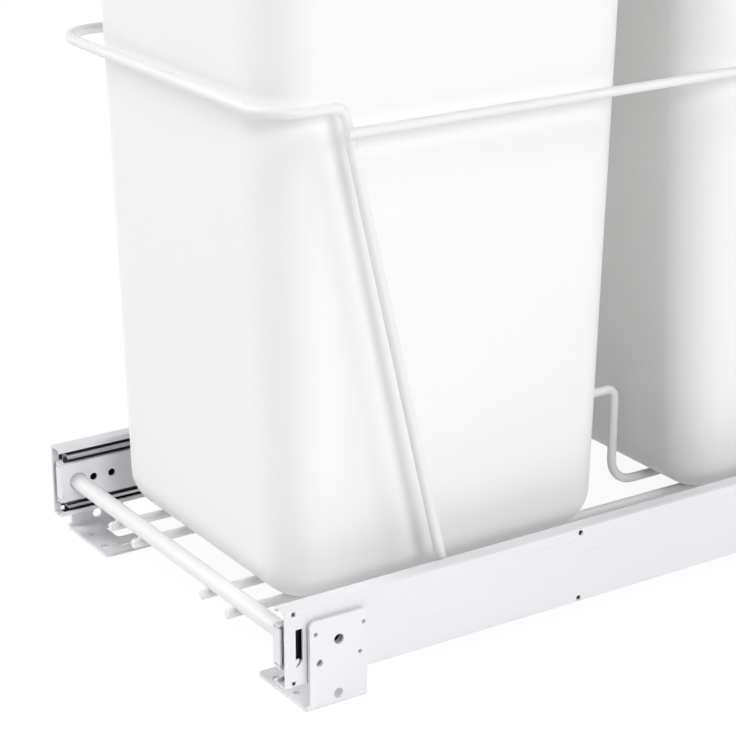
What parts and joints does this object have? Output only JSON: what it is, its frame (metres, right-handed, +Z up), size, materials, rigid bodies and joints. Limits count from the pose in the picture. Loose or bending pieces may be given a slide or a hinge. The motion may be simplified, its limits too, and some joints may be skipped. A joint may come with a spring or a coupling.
{
  "type": "pull-out waste bin unit",
  "caption": "Pull-out waste unit for a base cabinet: tapered white bins in a welded wire carriage on ball-bearing slides with floor brackets.",
  "frame": {"origin": "on the cabinet floor, under the middle of the unit", "axes": "+X to the right-hand side, +Y to the back of the cabinet (the carriage is pulled out along -Y), +Z up"},
  "size_m": [0.284, 0.552, 0.489],
  "materials": {
    "bin": "moulded white polypropylene with a faint sheen",
    "wire": "white powder coat, smooth gloss",
    "slide": "white baked coat on rolled steel",
    "bracket": "white baked coat on pressed steel",
    "middle_member": "zinc-plated steel",
    "cage": "bright pressed steel strip",
    "balls": "polished bearing steel",
    "bumper": "moulded black rubber"
  },
  "bodies": {
    "base": {"bracket_front_left": "bracket", "bracket_front_right": "bracket", "bracket_rear_left": "bracket", "bracket_rear_right": "bracket", "slide_outer_left": "slide", "slide_outer_right": "slide", "stop_bumper_left": "bumper", "stop_bumper_right": "bumper"},
    "carriage": {"slide_inner_left": "slide", "slide_inner_right": "slide", "cross_bar_front": "wire", "cross_bar_rear": "wire", "base_wire_outer_left": "wire", "base_wire_outer_right": "wire", "base_wire_humped_left": "wire", "base_wire_humped_right": "wire", "hoop_front": "wire", "hoop_rear": "wire", "side_rail_left": "wire", "side_rail_right": "wire"},
    "middle_left": {"slide_middle_left": "middle_member"},
    "cage_outer_left": {"ball_cage_outer_left": "cage", "balls_outer_left": "balls"},
    "cage_inner_left": {"ball_cage_inner_left": "cage", "balls_inner_left": "balls"},
    "middle_right": {"slide_middle_right": "middle_member"},
    "cage_outer_right": {"ball_cage_outer_right": "cage", "balls_outer_right": "balls"},
    "cage_inner_right": {"ball_cage_inner_right": "cage", "balls_inner_right": "balls"},
    "bin_front": {"bin_front": "bin"},
    "bin_rear": {"bin_rear": "bin"}
  },
  "joints": [
    {"name": "carriage_slide", "type": "slide", "parent": "base", "child": "carriage", "axis": [0, -1, 0], "range_m": [0, 0.53]},
    {"name": "middle_left_slide", "type": "slide", "parent": "base", "child": "middle_left", "axis": [0, -1, 0], "range_m": [0, 0.265]},
    {"name": "cage_outer_left_slide", "type": "slide", "parent": "base", "child": "cage_outer_left", "axis": [0, -1, 0], "range_m": [0, 0.1325]},
    {"name": "cage_inner_left_slide", "type": "slide", "parent": "base", "child": "cage_inner_left", "axis": [0, -1, 0], "range_m": [0, 0.3975]},
    {"name": "middle_right_slide", "type": "slide", "parent": "base", "child": "middle_right", "axis": [0, -1, 0], "range_m": [0, 0.265]},
    {"name": "cage_outer_right_slide", "type": "slide", "parent": "base", "child": "cage_outer_right", "axis": [0, -1, 0], "range_m": [0, 0.1325]},
    {"name": "cage_inner_right_slide", "type": "slide", "parent": "base", "child": "cage_inner_right", "axis": [0, -1, 0], "range_m": [0, 0.3975]},
    {"name": "bin_front_lift", "type": "slide", "parent": "carriage", "child": "bin_front", "axis": [0, 0, 1], "range_m": [0, 0.3]},
    {"name": "bin_rear_lift", "type": "slide", "parent": "carriage", "child": "bin_rear", "axis": [0, 0, 1], "range_m": [0, 0.3]}
  ],
  "couplings": [
    {"joint": "middle_left_slide", "follows": "carriage_slide", "ratio": 0.5},
    {"joint": "cage_outer_left_slide", "follows": "carriage_slide", "ratio": 0.25},
    {"joint": "cage_inner_left_slide", "follows": "carriage_slide", "ratio": 0.75},
    {"joint": "middle_right_slide", "follows": "carriage_slide", "ratio": 0.5},
    {"joint": "cage_outer_right_slide", "follows": "carriage_slide", "ratio": 0.25},
    {"joint": "cage_inner_right_slide", "follows": "carriage_slide", "ratio": 0.75}
  ]
}
